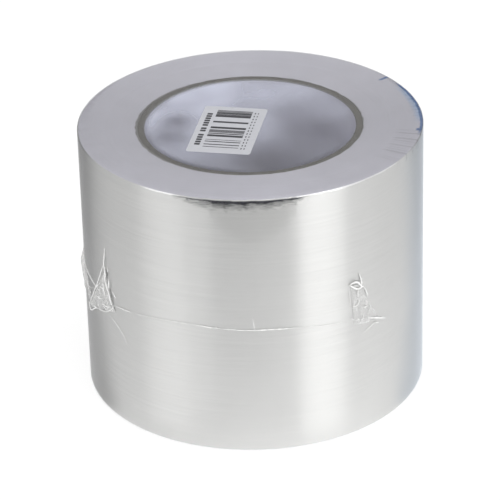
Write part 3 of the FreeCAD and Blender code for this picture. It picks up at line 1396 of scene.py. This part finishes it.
def weld_run(curve, dice, level, first, last):
    """One run of the weld between two dog ears: highest at its middle, a little lower at its ends."""
    steps = int((last - first) / 2.5)
    points = []
    for step in range(steps + 1):
        along = step / steps
        drop = 2.6 * abs(2 * along - 1) ** 2.2
        height = level + 0.6 - drop + dice.uniform(-0.12, 0.12)
        points.append((first + (last - first) * along, height, 0.03))
    crease(curve, points, 0.15)


class MESH_OT_weld(bpy.types.Operator):
    """Build the film's weld line, with its ticks of torn film"""

    bl_idname = "mesh.foil_roll_weld"
    bl_label = "Weld line"

    def execute(self, context):
        sizes = context.scene.foil_roll_sizes
        dice = random.Random(5)
        curve = new_creases("weld_line")
        level = sizes.weld_height / MM
        weld_run(curve, dice, level, 34, 114)
        weld_run(curve, dice, level, 122, 208)
        # The front run is white in the middle; toward the ears it is clear but for a few short dashes.
        clear_runs = (
            [(-133, 47.9), (-127, 48.9), (-121, 49.7), (-115, 50.1), (-109, 50.2)],
            [(-78, 49.1), (-71, 48.4), (-64, 47.6), (-57, 46.6)],
        )
        for run in clear_runs:
            crease(curve, [(azimuth, height, -0.02) for azimuth, height in run], 0.08)
        white_runs = (
            (0.2, [(-143, 46.6), (-140, 47.2), (-137.6, 47.4), (-135, 47.7)]),
            (0.13, [(-132, 48.1), (-130, 48.4), (-126.6, 49)]),
            (0.13, [(-118, 49.8), (-115, 50), (-112, 50.2)]),
            (0.2, [(-109.5, 50.2), (-107, 50.1), (-104.6, 49.8), (-101.6, 49.8)]),
            (0.18, [(-100.6, 49.7), (-98, 49.6), (-95, 49.6)]),
            (0.22, [(-96, 49.4), (-91, 49.3), (-86, 49.5), (-81, 49.2), (-76, 49.1)]),
        )
        for thick, run in white_runs:
            crease(curve, [(azimuth, height, 0.19 - thick) for azimuth, height in run], thick)
        ticks = (-107, -106, -104.8, -103.6, -102.4, -98.8, -97.6, -96.6, -85.4, -84.4, -83.4, -82.4)
        for azimuth in ticks:
            tall = dice.uniform(0.5, 1.1)
            foot = 49.4 + dice.uniform(-0.5, 0.1)
            lean = dice.uniform(-0.5, 0.5)
            middle = (azimuth + lean, foot + tall, 0.02)
            tip = (azimuth + 1.5 * lean, foot + 1.5 * tall, 0)
            crease(curve, [(azimuth, foot, 0), middle, tip], 0.16)
        crease(curve, [(-90.3, 49, 0), (-90.6, 51.5, 0.02), (-90.9, 54.2, 0)], 0.18)
        weld = creases_to_mesh(curve, "weld_line")
        colours = context.scene.foil_roll_colours
        finish_piece(weld, [whitened_film(colours, "shrink_film_weld", 0.7)])
        return {"FINISHED"}


def gathered_sheet(name, rows, columns, shape):
    """A closed thin sheet of film whose points are placed by a function of its two directions."""
    deselect()
    bpy.ops.mesh.primitive_grid_add(x_subdivisions=columns, y_subdivisions=rows, size=1)
    sheet = named(bpy.context.active_object, name)
    for vertex in sheet.data.vertices:
        vertex.co = on_side(*shape(vertex.co.x + 0.5, vertex.co.y + 0.5))
    wall = sheet.modifiers.new("wall", "SOLIDIFY")
    wall.thickness = 0.06 * MM
    wall.offset = 0
    bpy.ops.object.modifier_apply(modifier=wall.name)
    return sheet


def ear(name, outline, pleats, lift, strands, colours, seed, cloudy=0.5, flat=1):
    """One dog ear: a pleated sheet of spare film, with whitened folds that stand off it by a share."""

    def place(u, v):
        left, right = outline(v)
        azimuth = left[0] + (right[0] - left[0]) * u
        height = left[1] + (right[1] - left[1]) * u
        fold = abs(math.sin(math.pi * pleats * (u + 0.15 * math.sin(4 * v + seed))))
        edge = min(1, 4 * u, 4 * (1 - u), 4 * v, 5 * (1 - v) + 0.15)
        rough = noise.noise(Vector((azimuth * 0.5, height * 0.35, seed)))
        height += 0.8 * noise.noise(Vector((azimuth * 0.4, seed, height * 0.2)))
        off = lift * fold * (0.35 + 0.65 * v) + 0.25 * rough + 0.1
        return azimuth, height, SHEET_SIDE + edge * off

    sheet = gathered_sheet(name, 40, 48, place)
    finish_piece(sheet, [gathered_film(colours, name + "_film", cloudy)])
    curve = new_creases(name + "_folds")
    for thick, points in strands:
        crease(curve, [(azimuth, height, flat * off) for azimuth, height, off in points], thick)
    folds = creases_to_mesh(curve, name + "_folds")
    finish_piece(folds, [whitened_film(colours, name + "_whitened", 0.75)])


def back_ear(name, azimuth, colours, seed):
    """A dog ear of the rear: two legs spread from its tip, with a curled hem between their feet."""
    dice = random.Random(seed)

    def outline(v):
        return (azimuth - 1 - 8 * v, 61 - 22 * v), (azimuth + 1 + 9 * v, 61 - 20 * v)

    strands = []
    for side in (-1, 1):
        leg = [(azimuth, 63, 0)]
        for step in range(1, 7):
            out = side * (0.4 + 8.2 * (step / 6) ** 1.5) + dice.uniform(-0.5, 0.5)
            leg.append((azimuth + out, 63 - 3.6 * step, 0.2 if step == 6 else 0.7))
        strands.append((0.27, leg))
    hem = []
    for step in range(7):
        out = -9 + 3.1 * step
        hem.append((azimuth + out, 40 + dice.uniform(-1, 1), 0.3 if step in (0, 6) else 0.8))
    strands.append((0.34, hem))
    for _ in range(9):
        height = dice.uniform(43, 56)
        room = 1 + 6 * (60 - height) / 20
        out = dice.uniform(-room, room)
        tall = dice.uniform(1, 2.6)
        lean = dice.uniform(-1.2, 1.2)
        foot = azimuth + out
        middle = (foot + lean, height + tall / 2, 0.8)
        tip = (foot + lean / 2, height + tall, 0.3)
        strands.append((dice.uniform(0.16, 0.3), [(foot, height, 0.3), middle, tip]))
    ear(name, outline, 3, 0.8, strands, colours, float(seed))


# The folds of the two front ears: a thickness, then points of azimuth, height and lift.
LEFT_FOLDS = (
    (0.2, [(-148, 68, 0), (-148.4, 64, 0.3), (-149, 61, 0.5), (-148.4, 59, 0.6)]),
    (0.3, [(-148.9, 61, 0.3), (-148, 58, 0.5), (-148.5, 55, 0.5), (-147.4, 52.5, 0.5),
           (-146, 50, 0.5), (-145, 46.6, 0.3)]),
    (0.2, [(-149, 61, 0.4), (-151, 56.5, 0.7), (-153.5, 51.5, 0.8), (-157, 46.5, 0.7),
           (-160, 42, 0.6), (-165, 36.5, 0.3)]),
    (0.26, [(-165.5, 37, 0.3), (-163.5, 34.8, 0.7), (-160, 36.4, 0.8), (-157.5, 38.8, 0.9),
            (-155, 40, 0.6)]),
    (0.16, [(-156, 39.6, 0.5), (-152, 40.6, 0.5), (-148.5, 41.6, 0.4), (-145, 44.6, 0.2),
            (-143.6, 46.6, 0.1)]),
    (0.5, [(-159, 38.6, 0.5), (-157.5, 39.4, 0.8), (-156, 39.4, 0.5)]),
    (0.42, [(-155.4, 48.4, 0.5), (-154.4, 49.5, 0.9), (-153.4, 50.6, 0.5)]),
    (0.3, [(-153, 49.8, 0.3), (-151.8, 50.7, 0.7), (-150.6, 50.2, 0.4)]),
    (0.3, [(-150, 52.8, 0.3), (-149.6, 51, 0.7), (-149, 49.2, 0.7), (-148.8, 48, 0.3)]),
    (0.36, [(-148.1, 58.6, 0.5), (-147.8, 57.7, 0.9), (-147.7, 56.6, 0.5)]),
    (0.24, [(-146.7, 56.6, 0.2), (-146.1, 55.4, 0.4), (-146, 53.4, 0.4), (-146.3, 52, 0.2)]),
    (0.4, [(-145.9, 50, 0.6), (-145.4, 48.4, 0.9), (-145, 46.4, 0.5)]),
    (0.16, [(-144.4, 51.8, 0.1), (-143.2, 51, 0.2), (-142.6, 50, 0.1)]),
    (0.2, [(-146.8, 60.6, 0.2), (-146.4, 59.6, 0.4), (-146.5, 58.6, 0.1)]),
    (0.2, [(-156.5, 44.6, 0.3), (-154.7, 45.4, 0.7), (-153, 44.8, 0.4), (-151, 46, 0.2)]),
    (0.22, [(-152, 43, 0.4), (-150, 44.4, 0.7), (-148, 44, 0.6), (-146, 45, 0.2)]),
    (0.07, [(-147.4, 41.2, 0.1), (-144, 40, 0.1), (-141, 37.9, 0.05), (-138.6, 35.6, 0),
            (-137.6, 33, -0.05)]),
    (0.12, [(-170, 44.5, 0.2), (-167, 45.4, 0.4), (-164.5, 43.8, 0.4), (-161, 45, 0.4),
            (-158.4, 46.6, 0.2)]),
)
CURL_FOLDS = ((0.07, [(-169.5, 45.6, 0.2), (-167, 44, 0.4), (-164, 43, 0.5), (-161, 42.6, 0.3)]),)
RIGHT_FOLDS = (
    (0.36, [(-58, 61.3, 0.2), (-56.3, 59.6, 0.8), (-54.5, 58.6, 0.9), (-53.2, 59.2, 0.8),
            (-52, 58.4, 0.2)]),
    (0.36, [(-57.6, 61.4, 0.4), (-56.4, 62, 0.8), (-55, 61.6, 0.8), (-54, 60.2, 0.8), (-53.3, 59.2, 0.5)]),
    (0.3, [(-56.6, 60.4, 0.4), (-55.4, 60.4, 0.9), (-54.4, 59.6, 0.5)]),
    (0.24, [(-53.2, 59, 0.4), (-53.1, 61, 0.4), (-53.5, 62.6, 0.3), (-54, 64.6, 0)]),
    (0.28, [(-52.2, 58.3, 0.4), (-51.1, 56.8, 0.7), (-50.6, 54, 0.2)]),
    (0.26, [(-54.6, 58.2, 0.4), (-54.7, 56.8, 0.6), (-54.5, 55.2, 0.1)]),
    (0.2, [(-53.9, 54.2, 0.1), (-54.3, 52.8, 0.4), (-55.2, 51.7, 0.3), (-56.8, 52.2, 0.1)]),
    (0.16, [(-56, 54.4, 0.1), (-56.2, 53, 0.3), (-56.2, 51.8, 0.1)]),
    (0.12, [(-57.8, 59, 0.1), (-57.8, 56, 0.2), (-57.6, 53, 0)]),
    (0.32, [(-52.4, 50, 0.3), (-51.6, 50.6, 0.8), (-50.8, 50.2, 0.4)]),
    (0.09, [(-51.6, 52.6, 0.1), (-50, 52, 0.2), (-49.3, 50.4, 0.3), (-49.8, 48.4, 0.3),
            (-50.9, 46.8, 0.1)]),
    (0.22, [(-52.6, 47.4, 0.2), (-52.2, 46, 0.6), (-53.4, 45.4, 0.3)]),
    (0.34, [(-50.4, 45.2, 0.2), (-47, 43.9, 0.6), (-44.6, 42.8, 0.9), (-42.2, 41.4, 0.3)]),
    (0.16, [(-49, 43.4, 0.2), (-46, 42.9, 0.5), (-43, 42.6, 0.2)]),
    (0.3, [(-47.2, 42, 0.3), (-46.4, 41.5, 0.7), (-45.6, 41.2, 0.3)]),
    (0.14, [(-46.5, 42.4, 0.2), (-49, 41.4, 0.3), (-52.5, 39.8, 0)]),
    (0.24, [(-57.4, 47.8, 0.2), (-56.8, 47, 0.5), (-56, 46.6, 0.2)]),
    (0.18, [(-56, 46.4, 0.2), (-55, 46, 0.4), (-54, 46.2, 0.1)]),
)


class MESH_OT_dog_ears(bpy.types.Operator):
    """Build the gathered corners of spare film at the ends of the weld"""

    bl_idname = "mesh.foil_roll_dog_ears"
    bl_label = "Dog ears"

    def execute(self, context):
        colours = context.scene.foil_roll_colours

        def left_outline(v):
            return (-149 - 16 * v ** 1.2, 59 - 23 * v), (-148.5 + 5 * v ** 1.2, 59 - 15 * v)

        ear("dog_ear_left", left_outline, 3, 0.3, LEFT_FOLDS, colours, 2, 0.45, 0.65)

        def lobe_outline(v):
            return (-176 - 12 * v, 38.5 + 11.5 * v), (-160 - 8 * v, 38.5 + 11 * v)

        ear("dog_ear_left_curl", lobe_outline, 1, 1.1, CURL_FOLDS, colours, 3, 0.3)

        def right_outline(v):
            return (-57.5 + 1.5 * v, 61.5 - 17 * v), (-52.5 + 8 * v * v, 61.5 - 18.5 * v)

        ear("dog_ear_right", right_outline, 2, 0.1, RIGHT_FOLDS, colours, 5, 0.26, 0.65)
        back_ear("dog_ear_back", 30, colours, 8)
        back_ear("dog_ear_rear", 118, colours, 13)
        return {"FINISHED"}


def block(u, v, wide, long, low, high, rounding):
    """A thin closed block on the sticker's plane, at its place and size in millimetres."""
    deselect()
    bpy.ops.mesh.primitive_cube_add(size=1)
    piece = bpy.context.active_object
    bpy.ops.object.mode_set(mode="EDIT")
    bpy.ops.mesh.select_all(action="SELECT")
    bpy.ops.transform.resize(value=(wide * MM, long * MM, high - low))
    bpy.ops.transform.translate(value=(u * MM, v * MM, (low + high) / 2))
    if rounding:
        pick(piece, "edges", lambda e: abs(e.verts[0].co.z - e.verts[1].co.z) > 1e-6)
        bpy.ops.mesh.bevel(offset=rounding * MM, segments=5, affect="EDGES")
    bpy.ops.object.mode_set(mode="OBJECT")
    return piece


def lay_on_film(piece, turn, centre):
    """Turns a piece that was made on the sticker's own axes to its place on the roll."""
    place = Matrix.Translation((centre.x, centre.y, 0)) @ Matrix.Rotation(turn, 4, "Z")
    piece.data.transform(place)


class MESH_OT_sticker(bpy.types.Operator):
    """Build the sticker over the upper mouth, with plain bars and dashes in place of its print"""

    bl_idname = "mesh.foil_roll_sticker"
    bl_label = "Sticker"

    def execute(self, context):
        sizes = context.scene.foil_roll_sizes
        colours = context.scene.foil_roll_colours
        centre = (LABEL_BOX[0] + LABEL_BOX[1]) / 2
        base, top, print_top = LABEL_BOX[0].z, LABEL_BOX[1].z - 0.02 * MM, LABEL_BOX[1].z
        wide, long = sizes.sticker_width / MM, sizes.sticker_length / MM
        sticker = named(block(0, 0, wide, long, base, top, 1), "sticker")
        lay_on_film(sticker, sizes.sticker_turn, centre)
        finish_piece(sticker, [sticker_paper(colours)], "label", 30)
        marks = []
        bars = [
            (15.5, 0.35), (14.7, 0.35), (13.9, 0.45), (13.1, 0.6), (12.2, 0.4), (11, 1.2), (6.1, 0.9),
            (1.4, 1.1), (-0.6, 0.4), (-1.4, 0.45), (-2.2, 0.4), (-3.4, 0.5), (-5.1, 1.1), (-8.4, 0.25),
            (-9.9, 0.45), (-12.2, 0.45), (-14.1, 0.3),
        ]
        for along, thick in bars:
            marks.append(block(0.1, along, 12.8, 1.35 * thick, top, print_top, 0))
        for first, count in ((12.2, 6), (0.2, 2), (-5.1, 5)):
            for step in range(count):
                marks.append(block(-8.6, first - 1.85 * step, 2, 1.35, top, print_top, 0.3))
        for step in range(13):
            along = 14.4 - step * 2.4
            marks.append(block(7.6, along, 0.4, 1.1, top, print_top, 0))
            marks.append(block(8.7, along, 0.4, 0.9, top, print_top, 0))
        deselect()
        for mark in marks:
            mark.select_set(True)
        context.view_layer.objects.active = marks[0]
        bpy.ops.object.join()
        printed = named(context.active_object, "sticker_bars")
        lay_on_film(printed, sizes.sticker_turn, centre)
        finish_piece(printed, [thermal_print(colours)], None, 30)
        return {"FINISHED"}


def softbox(name, azimuth, rise, distance, wide, tall, level):
    """A soft studio lamp that looks at the roll; its level is the brightness of its face."""
    lamp = bpy.data.lights.new(name, "AREA")
    lamp.shape = "RECTANGLE"
    lamp.size = wide
    lamp.size_y = tall
    lamp.energy = level * math.pi * wide * tall
    holder = placed(name, lamp)
    a, e = math.radians(azimuth), math.radians(rise)
    back = Vector((math.sin(a) * math.cos(e), -math.cos(a) * math.cos(e), math.sin(e)))
    holder.location = back * distance + Vector((0, 0, 0.05))
    holder.rotation_euler = (-back).to_track_quat("-Z", "Y").to_euler()
    holder.visible_camera = False


def stand_card(name, azimuth, distance, wide, low, high, material):
    """A card that only the foil's gloss sees, facing the roll."""
    deselect()
    bpy.ops.mesh.primitive_plane_add(size=1)
    piece = bpy.context.active_object
    piece.name = name
    a = math.radians(azimuth)
    out = Vector((math.sin(a), -math.cos(a), 0))
    along = Vector((math.cos(a), math.sin(a), 0))
    for vertex in piece.data.vertices:
        u, v = vertex.co.x, vertex.co.y + 0.5
        vertex.co = out * distance + along * (u * wide) + Vector((0, 0, low + (high - low) * v))
    piece.data.materials.append(material)
    for ray in ("camera", "diffuse", "shadow", "transmission"):
        setattr(piece, "visible_" + ray, False)


class SCENE_OT_stage(bpy.types.Operator):
    """Set the camera, the soft lamps, the pale floor and the background"""

    bl_idname = "scene.foil_roll_stage"
    bl_label = "Stage"

    def execute(self, context):
        scene = context.scene
        colours = scene.foil_roll_colours
        camera = bpy.data.cameras.new("camera")
        camera.lens = 208.7
        camera.sensor_width = 36
        camera.clip_start = 0.05
        camera.clip_end = 20
        holder = placed("camera", camera)
        rise, roll = math.radians(28.2), math.radians(-1.55)
        back = Vector((0, -math.cos(rise), math.sin(rise)))
        right = Vector((1, 0, 0))
        up = back.cross(right)
        turned_right = right * math.cos(roll) + up * math.sin(roll)
        turned_up = up * math.cos(roll) - right * math.sin(roll)
        aim, distance = Vector((-1.28, 0, 47.9)) * MM, 1.0657
        facing = Matrix((turned_right, turned_up, back)).transposed().to_4x4()
        holder.matrix_world = Matrix.Translation(aim + back * distance) @ facing
        scene.camera = holder
        softbox("softbox_right", 42, 3, 0.8, 0.4, 0.22, 4.6)
        softbox("softbox_left", -57, 3, 0.8, 0.4, 0.22, 2.3)
        softbox("softbox_high", 20, 62, 1.2, 0.8, 0.8, 1.2)
        dark = card("dark_card", "#595959")
        grey = card("grey_card", "#959595")
        pale = card("pale_card", "#D4D4D4")
        stand_card("card_front", 0, 0.22, 0.2, 0, 0.07, grey)
        stand_card("card_rear_left", -140, 0.3, 0.3, 0.03, 0.22, dark)
        stand_card("card_rear_right", 140, 0.3, 0.3, 0.03, 0.22, dark)
        for turn in range(0, 360, 45):
            stand_card("card_ring_" + str(turn), turn, 0.95, 0.8, 0.22, 0.75, pale)
        deselect()
        bpy.ops.mesh.primitive_circle_add(vertices=96, radius=3, fill_type="NGON")
        floor = context.active_object
        floor.name = "floor"
        for vertex in floor.data.vertices:
            vertex.co.z = -0.00015
        floor.data.materials.append(studio_floor(colours))
        world = bpy.data.worlds.new("studio")
        scene.world = world
        world.use_nodes = True
        tree = world.node_tree
        tree.nodes.clear()
        rays = add("LightPath", {}, tree).outputs
        mirrored = add("Math", {
            "operation": "MAXIMUM",
            0: rays["Is Glossy Ray"],
            1: rays["Is Transmission Ray"],
        })
        strength = add("MapRange", {
            "Value": add("Math", {"operation": "MAXIMUM", 0: rays["Is Camera Ray"], 1: mirrored}),
            "From Min": 0,
            "From Max": 1,
            "To Min": 0.9,
            "To Max": 1,
        })
        sky = add("Background", {"Color": WHITE, "Strength": strength})
        add("OutputWorld", {0: sky.outputs[0]})
        scene.view_settings.view_transform = "Standard"
        return {"FINISHED"}


class VIEW3D_PT_foil_roll(bpy.types.Panel):
    """Lists the operators that build the roll"""

    bl_label = "Foil roll"
    bl_idname = "VIEW3D_PT_foil_roll"
    bl_space_type = "VIEW_3D"
    bl_region_type = "UI"
    bl_category = "Foil roll"

    def draw(self, context):
        column = self.layout.column()
        for step in STEPS:
            column.operator(step.bl_idname)


STEPS = (
    SCENE_OT_stage,
    MESH_OT_wound_tape,
    MESH_OT_paper_core,
    MESH_OT_shrink_film,
    MESH_OT_weld,
    MESH_OT_dog_ears,
    MESH_OT_sticker,
)
CLASSES = (FoilRollSizes, FoilRollColours, *STEPS, VIEW3D_PT_foil_roll)


def register():
    """Registers the classes and gives each scene the roll's sizes and colours."""
    for item in CLASSES:
        bpy.utils.register_class(item)
    bpy.types.Scene.foil_roll_sizes = bpy.props.PointerProperty(type=FoilRollSizes)
    bpy.types.Scene.foil_roll_colours = bpy.props.PointerProperty(type=FoilRollColours)


def unregister():
    """Takes the classes and the scene's settings away again."""
    del bpy.types.Scene.foil_roll_colours
    del bpy.types.Scene.foil_roll_sizes
    for item in reversed(CLASSES):
        bpy.utils.unregister_class(item)


def main():
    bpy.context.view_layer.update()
    register()
    bpy.ops.scene.foil_roll_stage()
    bpy.ops.mesh.foil_roll_wound_tape()
    bpy.ops.mesh.foil_roll_paper_core()
    bpy.ops.mesh.foil_roll_shrink_film()
    bpy.ops.mesh.foil_roll_weld()
    bpy.ops.mesh.foil_roll_dog_ears()
    bpy.ops.mesh.foil_roll_sticker()


if __name__ == "__main__":
    main()
